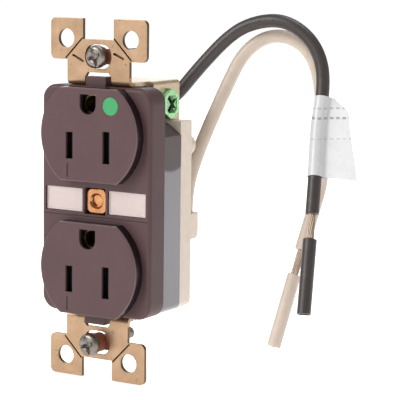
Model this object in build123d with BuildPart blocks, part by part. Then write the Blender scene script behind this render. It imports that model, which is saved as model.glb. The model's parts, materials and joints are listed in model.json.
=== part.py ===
from build123d import *
import math
import os

# A duplex wall receptacle with a wrap-around strap and two stripped leads.
# Frame: X to the right as seen from the front, Y from front to back, Z up.
# Origin: centre of the strap's rear plane, midway between the two box screws. Millimetres.

# Driving dimensions
OUTLET_PITCH = 38.9  # between the two outlet faces
BOX_SCREW_PITCH = 83.3  # between the two box screws
STRAP_LENGTH = 104.8
STRAP_T = 1.2
COVER_W = 37.7
COVER_H = 66.4
COVER_FRONT = -2.5
COVER_REAR = 5.1
FACE_FRONT = -6.4
WALL = 1.6
MID_W = 36.4
MID_H = 65.4
MID_REAR = 15.0
BACK_W = 36.0
BODY_REAR = 21.2
LEAD_D = 4.0
STRAND_D = 2.3
SHUTTER_TRAVEL = 2.8

ENDS = (("upper", 1), ("lower", -1))
SIDES = (("hot", -1), ("neutral", 1))

# Sizes shared by several pieces
FACE_R = 16.6
FACE_FLAT = 13.5
SLOT_X = 6.35  # blade slots, either side of the face's centre
SLOT_Z = -3.22
SLOT_W = 2.4
SLOT_H = {"hot": 7.7, "neutral": 9.2}
GROUND_Z = 8.8  # ground hole, above the face's centre
GROUND_W = 5.55
GROUND_H = 5.7
POST_HOLE_R = 1.75  # a number 6-32 screw's major radius
POST_R = 2.75
BAND_HALF = 8.0
FLANGE_LOW = COVER_H / 2 + 0.1
FLANGE_TOP = FLANGE_LOW + STRAP_T
BAND_REAR = BODY_REAR + 0.1 + STRAP_T
TAB_X = 12.6
TAB_FRONT = 8.6
TAB_REAR = 22.8
TAB_LOW = 22.4
GROUND_SCREW_AT = (16.0, 27.7)
SCREW_Z = BOX_SCREW_PITCH / 2
BODY_SCREWS = ((-14.5, 15.3), (14.5, 15.3), (-14.5, -28.0), (14.5, -28.0))
BODY_SCREW_SEAT = 19.4
RIVET_R = 1.25
HOOD_X = 14.4
HOOD_Y = 24.2
HOOD_TOP = -5.0
HOOD_LOW = -12.5
HOOD_REAR = 27.1
HOOD_W = 6.6
BARREL_TOP = -7.5
ARM_Z = -10.0


def at_y(y):
    """A sketch plane across the outlet at this depth. Sketches extrude towards the front."""
    return Plane.XZ.offset(-y)


def finish(piece, label):
    """Name a finished piece and write it."""
    piece.part.label = label
    export_step(piece.part, f"parts/{label}.step")


def face_centre(end):
    return end * OUTLET_PITCH / 2


def flatted_circle(centre_z, radius, flat):
    """An outlet face's outline: a circle with its top and bottom cut flat."""
    with Locations((0, centre_z)):
        Circle(radius)
        Rectangle(4 * radius, 2 * flat, mode=Mode.INTERSECT)


def ground_outline(centre_z, margin=0.0):
    """A ground hole: flat at its top, round at its bottom."""
    radius = GROUND_W / 2 + margin
    top = GROUND_H / 2 + margin
    middle = radius - top
    with Locations((0, centre_z + middle)):
        Circle(radius)
    with Locations((0, centre_z + (middle + top) / 2)):
        Rectangle(2 * radius, top - middle)


os.makedirs("parts", exist_ok=True)

# Front cover: a shell with two raised outlet faces, a window for the post and two label recesses.
LABEL_IN = 4.4
LABEL_OUT = 17.35
LABEL_H = 7.0
LABEL_FLOOR = -1.5
NOTCH_TAB_HALF = 3.4
NOTCH_TAB_TOP = 35.6
DOT_AT = (7.75, 28.1)
DOT_R = 2.65
DOT_FLOOR = -6.1

with BuildPart() as front_cover:
    with BuildSketch(at_y(COVER_REAR)):
        RectangleRounded(COVER_W, COVER_H, 4.5)
    extrude(amount=COVER_REAR - COVER_FRONT)
    fillet(front_cover.faces().sort_by(Axis.Y)[0].edges(), radius=1.2)
    for name, end in ENDS:
        with BuildSketch(at_y(COVER_FRONT + 1.0)):
            flatted_circle(face_centre(end), FACE_R, FACE_FLAT)
        extrude(amount=COVER_FRONT + 1.0 - FACE_FRONT)
    fillet(front_cover.faces().group_by(Axis.Y)[0].edges(), radius=0.5)
    with BuildSketch(at_y(COVER_REAR)):
        RectangleRounded(COVER_W - 2 * WALL, COVER_H - 2 * WALL, 3.0)
    extrude(amount=COVER_REAR - COVER_FRONT - WALL, mode=Mode.SUBTRACT)
    for name, end in ENDS:
        with BuildSketch(at_y(COVER_FRONT + WALL)):
            flatted_circle(face_centre(end), FACE_R - WALL, FACE_FLAT - WALL)
        extrude(amount=COVER_FRONT - FACE_FRONT, mode=Mode.SUBTRACT)
        with BuildSketch(at_y(FACE_FRONT + 2 * WALL)):
            for side_name, side in SIDES:
                with Locations((side * SLOT_X, face_centre(end) + SLOT_Z)):
                    Rectangle(SLOT_W, SLOT_H[side_name])
            ground_outline(face_centre(end) + GROUND_Z)
        extrude(amount=3 * WALL, mode=Mode.SUBTRACT)
        # moulded mark below the hot slot
        with BuildSketch(at_y(FACE_FRONT + 0.25)):
            with Locations((-6.9, face_centre(end) - 10.4)):
                SlotOverall(4.0, 0.6, rotation=90)
        extrude(amount=1, mode=Mode.SUBTRACT)
        # tab that keys into the strap's notch
        with BuildSketch(at_y(0.6)):
            with Locations((0, end * (COVER_H / 2 + NOTCH_TAB_TOP) / 2)):
                Rectangle(2 * NOTCH_TAB_HALF, NOTCH_TAB_TOP - COVER_H / 2 + 0.8)
        extrude(amount=0.6 - COVER_FRONT - 0.15)
    with BuildSketch(at_y(COVER_FRONT + 2 * WALL)):
        RectangleRounded(7.3, 7.8, 0.4)
    extrude(amount=3 * WALL, mode=Mode.SUBTRACT)
    with BuildSketch(at_y(LABEL_FLOOR)):
        for side in (-1, 1):
            with Locations((side * (LABEL_IN + LABEL_OUT) / 2, 0)):
                Rectangle(LABEL_OUT - LABEL_IN, LABEL_H)
    extrude(amount=2, mode=Mode.SUBTRACT)
    with BuildSketch(at_y(DOT_FLOOR)):
        with Locations(DOT_AT):
            Circle(DOT_R)
    extrude(amount=1, mode=Mode.SUBTRACT)
    # bosses that take the body screws
    with BuildSketch(at_y(COVER_REAR)):
        with Locations(*BODY_SCREWS):
            Circle(2.6)
    extrude(amount=COVER_REAR - COVER_FRONT - WALL)
    with BuildSketch(at_y(COVER_REAR)):
        with Locations(*BODY_SCREWS):
            Circle(1.5)
    extrude(amount=COVER_REAR - COVER_FRONT - WALL - 0.6, mode=Mode.SUBTRACT)
    # hairline where the mould's two cavities meet
    with BuildSketch(at_y(COVER_FRONT + 0.2)):
        with Locations((0, -4.6)):
            Rectangle(COVER_W, 0.25)
    extrude(amount=1, mode=Mode.SUBTRACT)
finish(front_cover, "front_cover")

with BuildPart() as green_dot:
    with BuildSketch(at_y(DOT_FLOOR)):
        with Locations(DOT_AT):
            Circle(DOT_R - 0.05)
    extrude(amount=0.35)
    fillet(green_dot.faces().sort_by(Axis.Y)[0].edges(), radius=0.12)
finish(green_dot, "green_dot")

for name, side in (("left", -1), ("right", 1)):
    with BuildPart() as label_plate:
        with BuildSketch(at_y(LABEL_FLOOR)):
            with Locations((side * (LABEL_IN + LABEL_OUT) / 2, 0)):
                Rectangle(LABEL_OUT - LABEL_IN - 0.2, LABEL_H - 0.2)
        extrude(amount=0.5)
        with BuildSketch(at_y(LABEL_FLOOR - 0.38)):
            with Locations((side * (LABEL_IN + LABEL_OUT) / 2, 0)):
                Rectangle(LABEL_OUT - LABEL_IN - 1.2, LABEL_H - 1.2)
        extrude(amount=1, mode=Mode.SUBTRACT)
    finish(label_plate, f"label_{name}")

# Mounting strap: one plated strip with ears, bent round the body, and a ground tab at the top right.
EAR_IN = 5.3
EAR_OUT = 16.5
EAR_LOW = 40.5
NECK_HALF = 10.7
NECK_TOP = 46.5
EAR_HOLE = (11.05, 46.6)
EAR_HOLE_R = 2.75
NOTCH_TOP = 37.05
SCORE_W = 0.45
SCORE_DEPTH = 0.7
SCORE_FROM = (5.4, 46.9)
SCORE_TO = (11.4, 40.8)
REAR_SCORE_DEPTH = 0.15
REAR_SCORE_FROM = (4.4, 47.5)
REAR_SCORE_TO = (11.6, 39.5)
DASH_DEPTH = 0.8
DASH_W = 0.7
DASHES = (((-9.0, 41.9), (-5.0, 40.1)), ((5.2, 42.7), (8.8, 41.2)))

with BuildPart() as mounting_strap:
    with BuildSketch(at_y(0)) as strap_face:
        for name, end in ENDS:
            with Locations((0, end * (FLANGE_LOW + NECK_TOP) / 2)):
                Rectangle(2 * NECK_HALF, NECK_TOP - FLANGE_LOW)
            for side in (-1, 1):
                with Locations((side * (EAR_IN + EAR_OUT) / 2, end * (EAR_LOW + STRAP_LENGTH / 2) / 2)):
                    Rectangle(EAR_OUT - EAR_IN, STRAP_LENGTH / 2 - EAR_LOW)
        outer = [v for v in strap_face.vertices() if abs(v.X) > NECK_HALF + 0.1]
        top = [v for v in strap_face.vertices() if abs(v.X) < NECK_HALF and abs(v.Z) > NECK_TOP + 0.1]
        fillet(outer + top, radius=1.6)
        inner = [
            v for v in strap_face.vertices()
            if abs(abs(v.X) - EAR_IN) < 0.1 and abs(abs(v.Z) - NECK_TOP) < 0.1
        ]
        fillet(inner, radius=0.8)
        for name, end in ENDS:
            for side in (-1, 1):
                with Locations((side * EAR_HOLE[0], end * EAR_HOLE[1])):
                    Circle(EAR_HOLE_R, mode=Mode.SUBTRACT)
            with Locations((0, end * SCREW_Z)):
                RectangleRounded(9.0, 7.0, 3.2, mode=Mode.SUBTRACT)
    extrude(amount=STRAP_T)
    with BuildSketch(Plane.YZ.offset(-NECK_HALF)):
        for name, end in ENDS:
            with Locations(((BAND_REAR - STRAP_T) / 2, end * (FLANGE_LOW + FLANGE_TOP) / 2)):
                Rectangle(BAND_REAR + STRAP_T, STRAP_T)
    extrude(amount=2 * NECK_HALF)
    with BuildSketch(Plane.YZ.offset(-BAND_HALF)):
        with Locations((BAND_REAR - STRAP_T / 2, 0)):
            Rectangle(STRAP_T, 2 * FLANGE_TOP)
    extrude(amount=2 * BAND_HALF)
    bends = [
        e for e in mounting_strap.edges().filter_by(Axis.X)
        if abs(abs(e.center().Z) - FLANGE_LOW) < 0.05 and abs(e.center().Y + STRAP_T) < 0.05
    ]
    fillet(bends, radius=1.7)
    crooks = [
        e for e in mounting_strap.edges().filter_by(Axis.X)
        if abs(abs(e.center().Z) - FLANGE_TOP) < 0.05 and abs(e.center().Y) < 0.05
    ]
    fillet(crooks, radius=0.6)
    backs = [
        e for e in mounting_strap.edges().filter_by(Axis.X)
        if abs(abs(e.center().Z) - FLANGE_TOP) < 0.05 and abs(e.center().Y - BAND_REAR) < 0.05
    ]
    fillet(backs, radius=1.1)
    # ground tab
    with BuildSketch(Plane.XY.offset(FLANGE_LOW)):
        with Locations((TAB_X / 2 + 3, (TAB_FRONT + TAB_REAR) / 2)):
            Rectangle(TAB_X - 6, TAB_REAR - TAB_FRONT)
    extrude(amount=STRAP_T)
    with BuildSketch(Plane.YZ.offset(TAB_X - STRAP_T)):
        with Locations(((TAB_FRONT + TAB_REAR) / 2, (TAB_LOW + FLANGE_TOP) / 2)):
            Rectangle(TAB_REAR - TAB_FRONT, FLANGE_TOP - TAB_LOW)
    extrude(amount=STRAP_T)
    tab_bend = [
        e for e in mounting_strap.edges().filter_by(Axis.Y)
        if abs(e.center().X - TAB_X) < 0.05 and abs(e.center().Z - FLANGE_TOP) < 0.05
    ]
    fillet(tab_bend, radius=1.1)
    tab_corners = [
        e for e in mounting_strap.edges().filter_by(Axis.X)
        if abs(e.center().X - TAB_X + STRAP_T / 2) < 0.1 and abs(e.center().Z - TAB_LOW) < 0.1
    ]
    fillet(tab_corners, radius=0.8)
    with BuildSketch(Plane.YZ.offset(TAB_X)):
        with Locations(GROUND_SCREW_AT):
            Circle(2.45)
    extrude(amount=-STRAP_T, mode=Mode.SUBTRACT)
    for name, end in ENDS:
        with BuildSketch(at_y(1.6)):
            Polygon(
                (-4.5, end * (FLANGE_LOW - 0.5)),
                (-4.5, end * 35.7),
                (-3.6, end * NOTCH_TOP),
                (3.6, end * NOTCH_TOP),
                (4.5, end * 35.7),
                (4.5, end * (FLANGE_LOW - 0.5)),
                align=None,
            )
        extrude(amount=1.6 + 2 * STRAP_T, mode=Mode.SUBTRACT)
    # break-off lines scored between ears and neck, front and rear, and two stamped dashes by the upper screw
    grooves = [(-STRAP_T + DASH_DEPTH, 1, DASH_W, start, stop) for start, stop in DASHES]
    for name, end in ENDS:
        for side in (-1, 1):
            for floor, depth, start, stop in (
                (-STRAP_T + SCORE_DEPTH, 1, SCORE_FROM, SCORE_TO),
                (1, 1 + REAR_SCORE_DEPTH, REAR_SCORE_FROM, REAR_SCORE_TO),
            ):
                ends = [(side * x, end * z) for x, z in (start, stop)]
                grooves.append((floor, depth, SCORE_W, *ends))
    for floor, depth, width, start, stop in grooves:
        run = (stop[0] - start[0], stop[1] - start[1])
        with BuildSketch(at_y(floor)):
            with Locations(((start[0] + stop[0]) / 2, (start[1] + stop[1]) / 2)):
                SlotOverall(math.hypot(*run), width, rotation=math.degrees(math.atan2(run[1], run[0])))
        extrude(amount=depth, mode=Mode.SUBTRACT)
    with BuildSketch(at_y(BAND_REAR)):
        Circle(POST_R + 0.05)
        for name, end in ENDS:
            with Locations((0, face_centre(end) + GROUND_Z)):
                Circle(RIVET_R + 0.05)
    extrude(amount=3 * STRAP_T, mode=Mode.SUBTRACT)
finish(mounting_strap, "mounting_strap")

# Centre post: the brass insert that takes the plate screw and clamps the cover to the strap's band.
POST_FACE = -1.7
POST_SEAT = 0.8

with BuildPart() as centre_post:
    with BuildSketch(at_y(POST_SEAT)):
        RectangleRounded(6.9, 7.3, 1.8)
    extrude(amount=POST_SEAT - POST_FACE)
    fillet(centre_post.faces().sort_by(Axis.Y)[0].edges(), radius=0.4)
    with BuildSketch(at_y(BAND_REAR)):
        Circle(POST_R)
    extrude(amount=BAND_REAR - POST_SEAT)
    with BuildSketch(at_y(BAND_REAR + 0.8)):
        Circle(3.9)
    extrude(amount=0.8)
    chamfer(centre_post.faces().sort_by(Axis.Y)[-1].edges(), length=0.3)
    with BuildSketch(at_y(BAND_REAR + 1)):
        Circle(POST_HOLE_R)
    extrude(amount=BAND_REAR + 4, mode=Mode.SUBTRACT)
    mouth = centre_post.faces().sort_by(Axis.Y)[0].inner_wires()[0].edges()
    chamfer(mouth, length=0.6)
finish(centre_post, "centre_post")

# Bodies: the dark middle body holds the contacts, the light back body closes it.
RELIEF_X = 6.0
RELIEF_LOW = 19.0
RELIEF_HIGH = 22.1
RELIEF_CORNER = 13.9
BACK_STEP_X = 12.8
BACK_STEP_TOP = 22.9
BACK_LIP_RUN = 3.2  # sloping cut under the back body's lower edge
BACK_LIP_RISE = 1.3
GROUND_SOCKET_R = 3.0
GROUND_SOCKET_WALL = 0.55
GROUND_FLOOR = 14.0
CONTACT_IN = 4.85  # inner leaf of a blade contact, from the middle plane
CONTACT_OUT = 7.85
CONTACT_BASE = 12.6
LEAF_T = 0.8
BRASS_T = 0.8


def cut_relief(low_edge):
    """The outline cut from a body at the top right, above its low edge, clear of the ground tab and screw."""
    Polygon(*low_edge, (RELIEF_X, RELIEF_HIGH), (RELIEF_X, 40), (20, 40), align=None)


def through_holes():
    """Holes for the post, the body screws and the ground rivets."""
    Circle(POST_R + 0.1)
    with Locations(*BODY_SCREWS):
        Circle(1.6)
    for name, end in ENDS:
        with Locations((0, face_centre(end) + GROUND_Z)):
            Circle(RIVET_R + 0.1)


with BuildPart() as mid_body:
    with BuildSketch(at_y(MID_REAR)):
        RectangleRounded(MID_W, MID_H, 2.5)
    extrude(amount=MID_REAR - COVER_REAR)
    with BuildSketch(at_y(MID_REAR + 1)):
        cut_relief([(20, RELIEF_LOW), (MID_W / 2, RELIEF_LOW), (RELIEF_CORNER, RELIEF_HIGH)])
    extrude(amount=MID_REAR, mode=Mode.SUBTRACT)
    with BuildSketch(at_y(COVER_REAR + 1)):
        RectangleRounded(11, 11, 1)
    extrude(amount=COVER_REAR + 1 - POST_SEAT)
    with BuildSketch(at_y(MID_REAR)):
        for name, end in ENDS:
            with Locations((0, face_centre(end) + GROUND_Z)):
                Circle(GROUND_SOCKET_R + 0.25)
        for name, side in SIDES:
            with Locations((side * (CONTACT_IN + CONTACT_OUT) / 2, -3.2)):
                Rectangle(CONTACT_OUT - CONTACT_IN + 0.6, 46.4)
    extrude(amount=MID_REAR, mode=Mode.SUBTRACT)
    with BuildSketch(at_y(MID_REAR)):
        for name, side in SIDES:
            with Locations((side * (CONTACT_OUT + HOOD_X + 1.7) / 2, ARM_Z)):
                Rectangle(HOOD_X + 1.7 - CONTACT_OUT, 4.4)
    extrude(amount=MID_REAR - CONTACT_BASE + 0.2, mode=Mode.SUBTRACT)
    with BuildSketch(at_y(MID_REAR)):
        for name, end in ENDS:
            with Locations((0, face_centre(end) + GROUND_Z)):
                Circle(GROUND_SOCKET_R + 0.3)
    extrude(amount=MID_REAR - GROUND_FLOOR)
    with BuildSketch(at_y(MID_REAR + 1)):
        through_holes()
    extrude(amount=MID_REAR + 2, mode=Mode.SUBTRACT)
finish(mid_body, "mid_body")

with BuildPart() as back_body:
    with BuildSketch(at_y(BODY_REAR)):
        RectangleRounded(BACK_W, MID_H, 2.5)
    extrude(amount=BODY_REAR - MID_REAR)
    with BuildSketch(Plane.YZ.offset(-BACK_W / 2)):
        Polygon(
            (BODY_REAR - BACK_LIP_RUN, -MID_H / 2),
            (BODY_REAR, -MID_H / 2),
            (BODY_REAR, -MID_H / 2 + BACK_LIP_RISE),
            align=None,
        )
    extrude(amount=BACK_W, mode=Mode.SUBTRACT)
    with BuildSketch(at_y(BODY_REAR + 1)):
        cut_relief([(20, BACK_STEP_TOP), (BACK_STEP_X, BACK_STEP_TOP), (BACK_STEP_X, RELIEF_HIGH)])
    extrude(amount=BODY_REAR, mode=Mode.SUBTRACT)
    # screw bosses
    with BuildSketch(at_y(BODY_REAR + 3.6)):
        with Locations(*BODY_SCREWS[:2]):
            Circle(3.4)
    extrude(amount=3.6)
    fillet(back_body.faces().group_by(Axis.Y)[-1].edges(), radius=1.6)
    # hoods over the lead terminals, open at the top for the leads
    for name, side in SIDES:
        with BuildSketch(Plane.YZ.offset(side * HOOD_X - HOOD_W / 2)):
            Polygon(
                (BODY_REAR - 0.5, HOOD_LOW),
                (HOOD_Y + 0.4, HOOD_LOW),
                (HOOD_REAR, HOOD_LOW + 2.5),
                (HOOD_REAR, HOOD_TOP),
                (BODY_REAR - 0.5, HOOD_TOP),
                align=None,
            )
        extrude(amount=HOOD_W)
    hood_edges = [e for e in back_body.edges().filter_by(Axis.Z) if abs(e.center().Y - HOOD_REAR) < 0.05]
    fillet(hood_edges, radius=1.8)
    for name, side in SIDES:
        with BuildSketch(Plane.XY.offset(HOOD_TOP + 1)):
            with Locations((side * HOOD_X, HOOD_Y)):
                Circle(LEAD_D / 2 + 0.15)
        extrude(amount=ARM_Z - 1.6 - HOOD_TOP, mode=Mode.SUBTRACT)
        with BuildSketch(at_y(HOOD_Y)):
            with Locations((side * HOOD_X, ARM_Z)):
                Rectangle(3.3, 1.3)
        extrude(amount=HOOD_Y, mode=Mode.SUBTRACT)
    # counterbores for the screw heads
    with BuildSketch(at_y(BODY_REAR + 5)):
        with Locations(*BODY_SCREWS):
            Circle(2.6)
    extrude(amount=BODY_REAR + 5 - BODY_SCREW_SEAT, mode=Mode.SUBTRACT)
    with BuildSketch(at_y(BODY_REAR + 1)):
        through_holes()
    extrude(amount=BODY_REAR, mode=Mode.SUBTRACT)
finish(back_body, "back_body")

with BuildPart() as body_screws:
    with BuildSketch(at_y(BODY_SCREW_SEAT)):
        with Locations(*BODY_SCREWS):
            Circle(1.45)
    extrude(amount=BODY_SCREW_SEAT - 1.4)
    with BuildSketch(at_y(BODY_SCREW_SEAT + 1.5)):
        with Locations(*BODY_SCREWS):
            Circle(2.4)
    extrude(amount=1.5)
    fillet(body_screws.faces().group_by(Axis.Y)[-1].edges(), radius=0.5)
    with BuildSketch(at_y(BODY_SCREW_SEAT + 2)):
        with Locations(*BODY_SCREWS):
            Rectangle(2.6, 0.6)
            Rectangle(0.6, 2.6)
    extrude(amount=1.4, mode=Mode.SUBTRACT)
finish(body_screws, "body_screws")

# Contacts: each line strip grips one blade of each outlet between two leaves.
for name, side in SIDES:
    middle_x = side * (CONTACT_IN + CONTACT_OUT) / 2
    with BuildPart() as contact:
        with BuildSketch(at_y(CONTACT_BASE + BRASS_T)):
            with Locations((middle_x, -3.2)):
                Rectangle(CONTACT_OUT - CONTACT_IN, 45.6)
            with Locations((side * (CONTACT_OUT + HOOD_X + 1.3) / 2, ARM_Z)):
                Rectangle(HOOD_X + 1.5 - CONTACT_OUT, 3.6)
        extrude(amount=BRASS_T)
        with BuildSketch(at_y(CONTACT_BASE + 0.1)):
            for end_name, end in ENDS:
                for leaf in (-1, 1):
                    leaf_x = middle_x + leaf * (CONTACT_OUT - CONTACT_IN - LEAF_T) / 2
                    with Locations((leaf_x, face_centre(end) + SLOT_Z)):
                        Rectangle(LEAF_T, 6.4)
        extrude(amount=CONTACT_BASE - 0.4)
        mouths = contact.faces().group_by(Axis.Y)[0].edges().filter_by(Axis.Z)
        chamfer(mouths, length=0.25)
    finish(contact, f"{name}_contact")

    with BuildPart() as terminal:
        with BuildSketch(Plane.XY.offset(ARM_Z - 0.5)):
            with Locations((side * HOOD_X, (CONTACT_BASE + BRASS_T + HOOD_Y) / 2)):
                Rectangle(3.0, HOOD_Y - CONTACT_BASE - BRASS_T)
        extrude(amount=1.0)
        with BuildSketch(Plane.XY.offset(ARM_Z - 0.5)):
            with Locations((side * HOOD_X, HOOD_Y)):
                Circle(1.7)
        extrude(amount=BARREL_TOP - ARM_Z + 0.5)
    finish(terminal, f"{name}_lead_terminal")

SOCKET_MOUTH = -3.6
for name, end in ENDS:
    socket_z = face_centre(end) + GROUND_Z
    with BuildPart() as ground_contact:
        with BuildSketch(at_y(GROUND_FLOOR)):
            with Locations((0, socket_z)):
                Circle(GROUND_SOCKET_R)
                Circle(GROUND_SOCKET_R - GROUND_SOCKET_WALL, mode=Mode.SUBTRACT)
        extrude(amount=GROUND_FLOOR - SOCKET_MOUTH)
        with BuildSketch(at_y(GROUND_FLOOR - 3)):
            with Locations((0, socket_z + 2)):
                Rectangle(0.8, 4)
            with Locations((-2, socket_z - 1.2)):
                Rectangle(4, 0.8, rotation=30)
            with Locations((2, socket_z - 1.2)):
                Rectangle(4, 0.8, rotation=-30)
        extrude(amount=GROUND_FLOOR, mode=Mode.SUBTRACT)
        with BuildSketch(at_y(GROUND_FLOOR)):
            with Locations((0, socket_z)):
                Circle(GROUND_SOCKET_R)
                Circle(RIVET_R + 0.05, mode=Mode.SUBTRACT)
        extrude(amount=1.0)
    finish(ground_contact, f"{name}_ground_contact")

with BuildPart() as ground_contact_rivets:
    for name, end in ENDS:
        rivet_at = (0, face_centre(end) + GROUND_Z)
        for rear, depth, radius in (
            (GROUND_FLOOR - 1.0, 0.8, 2.1),
            (BAND_REAR + 0.8, 0.8, 2.3),
            (BAND_REAR, BAND_REAR - GROUND_FLOOR + 1.0, RIVET_R),
        ):
            with BuildSketch(at_y(rear)):
                with Locations(rivet_at):
                    Circle(radius)
            extrude(amount=depth)
    fillet(ground_contact_rivets.faces().group_by(Axis.Y)[-1].edges(), radius=0.6)
finish(ground_contact_rivets, "ground_contact_rivets")

# Shutters: behind each face a plate covers both blade slots and slides sideways when a plug goes in.
SHUTTER_REAR = -2.9
SHUTTER_FRONT = -4.7
RETAINER_FRONT = -2.7
RETAINER_REAR = -1.5
WINDOW_W = 2.6
WINDOW_H = 9.8
SHUTTER_LEFT = -11.3
SHUTTER_RIGHT = 8.2
SHUTTER_LOW = -9.2
SHUTTER_HIGH = 2.6
SPRING_Y = -3.8
SPRING_Z = 3.6
LUG_LEFT = -5.2
LUG_RIGHT = 4.6
SPRING_WIRE_R = 0.11
SPRING_R = 0.65
SPRING_TURNS = 8

for name, end in ENDS:
    centre_z = face_centre(end)
    with BuildPart() as shutter:
        with BuildSketch(at_y(SHUTTER_REAR)):
            with Locations(((SHUTTER_LEFT + SHUTTER_RIGHT) / 2, centre_z + (SHUTTER_LOW + SHUTTER_HIGH) / 2)):
                RectangleRounded(SHUTTER_RIGHT - SHUTTER_LEFT, SHUTTER_HIGH - SHUTTER_LOW, 0.8)
            for side_name, side in SIDES:
                with Locations((side * SLOT_X - SHUTTER_TRAVEL, centre_z + SLOT_Z)):
                    Rectangle(WINDOW_W, WINDOW_H, mode=Mode.SUBTRACT)
            with Locations((LUG_LEFT - 0.5, centre_z + (SHUTTER_HIGH + SPRING_Z + 1) / 2 - 0.2)):
                Rectangle(1.0, SPRING_Z + 1 - SHUTTER_HIGH + 0.4)
        extrude(amount=SHUTTER_REAR - SHUTTER_FRONT)
        # ramps beside the windows turn a blade's push into a sideways one
        window_sides = [
            e for e in shutter.faces().group_by(Axis.Y)[0].edges().filter_by(Axis.Z)
            if any(abs(e.center().X - (side * SLOT_X - SHUTTER_TRAVEL + WINDOW_W / 2)) < 0.05 for side in (-1, 1))
        ]
        chamfer(window_sides, length=1.4)
    finish(shutter, f"{name}_shutter")

    with BuildPart() as retainer:
        with BuildSketch(at_y(RETAINER_REAR)):
            flatted_circle(centre_z, FACE_R - WALL - 0.15, FACE_FLAT - WALL - 0.15)
            with Locations((0, centre_z + GROUND_Z)):
                Circle(GROUND_SOCKET_R + 0.2, mode=Mode.SUBTRACT)
            for side_name, side in SIDES:
                with Locations((side * SLOT_X, centre_z + SLOT_Z)):
                    Rectangle(SLOT_W + 0.4, WINDOW_H, mode=Mode.SUBTRACT)
        extrude(amount=RETAINER_REAR - RETAINER_FRONT)
        with BuildSketch(at_y(RETAINER_FRONT)):
            with Locations((LUG_RIGHT + 0.5, centre_z + SPRING_Z + 0.1)):
                Rectangle(1.0, 1.6)
        extrude(amount=RETAINER_FRONT - SHUTTER_FRONT - 0.1)
    finish(retainer, f"{name}_shutter_retainer")

    with BuildPart() as spring:
        spring_length = LUG_RIGHT - LUG_LEFT - 0.5
        with BuildLine():
            coil = Helix(
                pitch=spring_length / SPRING_TURNS,
                height=spring_length,
                radius=SPRING_R,
                center=(LUG_LEFT + 0.25, SPRING_Y, centre_z + SPRING_Z),
                direction=(1, 0, 0),
            )
        with BuildSketch(Plane(origin=coil @ 0, z_dir=coil % 0)):
            Circle(SPRING_WIRE_R)
        sweep(path=coil, is_frenet=True)
    finish(spring, f"{name}_shutter_spring")

# Mounting screws: number 6-32 binding heads, held in the strap's slots by collared fibre washers.
SCREW_R = 1.75
SCREW_HEAD_R = 3.3
SCREW_HEAD_H = 2.0
SCREW_SHANK = 22.0
SCREW_NECK_R = 1.6  # plain neck that the washer sits on, in front of the thread
THREAD_START = 0.5
DRIVE_SLOT_W = 0.8
DRIVE_SLOT_DEPTH = 0.5
CROSS_ARM = 4.3
CROSS_W = 1.1
CROSS_DEPTH = 1.6
DRIVE_TURN = 20
HEAD_SEAT = {"upper": -1.5, "lower": -4.4}
WASHER_W = 11.5
WASHER_H = 4.4
WASHER_FRONT = 0.06
WASHER_T = 0.4
COLLAR_R = 2.8
COLLAR_GAP = 0.1  # under the screw head

for name, end in ENDS:
    seat = HEAD_SEAT[name]
    axis_at = (0, end * SCREW_Z)
    with BuildPart() as mounting_screw:
        with BuildSketch(at_y(seat)):
            with Locations(axis_at):
                Circle(SCREW_HEAD_R)
        extrude(amount=SCREW_HEAD_H)
        fillet(mounting_screw.faces().sort_by(Axis.Y)[0].edges(), radius=1.3)
        with BuildSketch(at_y(seat + SCREW_SHANK)):
            with Locations(axis_at):
                Circle(SCREW_R)
        extrude(amount=seat + SCREW_SHANK - THREAD_START)
        chamfer(mounting_screw.faces().sort_by(Axis.Y)[-1].edges(), length=0.6)
        with BuildSketch(at_y(THREAD_START)):
            with Locations(axis_at):
                Circle(SCREW_NECK_R)
        extrude(amount=THREAD_START - seat)
        with BuildSketch(at_y(seat - SCREW_HEAD_H + DRIVE_SLOT_DEPTH)):
            with Locations(axis_at):
                Rectangle(DRIVE_SLOT_W, 2 * SCREW_HEAD_R + 1, rotation=DRIVE_TURN)
        extrude(amount=3, mode=Mode.SUBTRACT)
        with BuildSketch(at_y(seat - SCREW_HEAD_H + CROSS_DEPTH)):
            with Locations(axis_at):
                Rectangle(CROSS_ARM, CROSS_W, rotation=DRIVE_TURN)
                Rectangle(CROSS_W, CROSS_ARM, rotation=DRIVE_TURN)
        extrude(amount=3, mode=Mode.SUBTRACT)
    finish(mounting_screw, f"{name}_mounting_screw")

    with BuildPart() as washer:
        with BuildSketch(at_y(WASHER_FRONT + WASHER_T)):
            with Locations(axis_at):
                RectangleRounded(WASHER_W, WASHER_H, 1.5)
        extrude(amount=WASHER_T)
        with BuildSketch(at_y(WASHER_FRONT + WASHER_T)):
            with Locations(axis_at):
                Circle(COLLAR_R)
        extrude(amount=WASHER_FRONT + WASHER_T - seat - COLLAR_GAP)
        with BuildSketch(at_y(THREAD_START)):
            with Locations(axis_at):
                Circle(SCREW_NECK_R + 0.06)
        extrude(amount=THREAD_START - seat, mode=Mode.SUBTRACT)
    finish(washer, f"{name}_screw_washer")

# Ground screw: number 10-32, hexagon head with a cross recess.
HEX_FLATS = 7.94
CROWN_R = HEX_FLATS / 2 + 0.7
GROUND_HEAD_H = 1.6
GROUND_HEAD_SEAT = TAB_X + 0.15
GROUND_SCREW_R = 2.415
GROUND_SHANK = 6.2
GROUND_CROSS = 6.0
GROUND_CROSS_W = 1.3
GROUND_CROSS_DEPTH = 1.1

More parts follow.
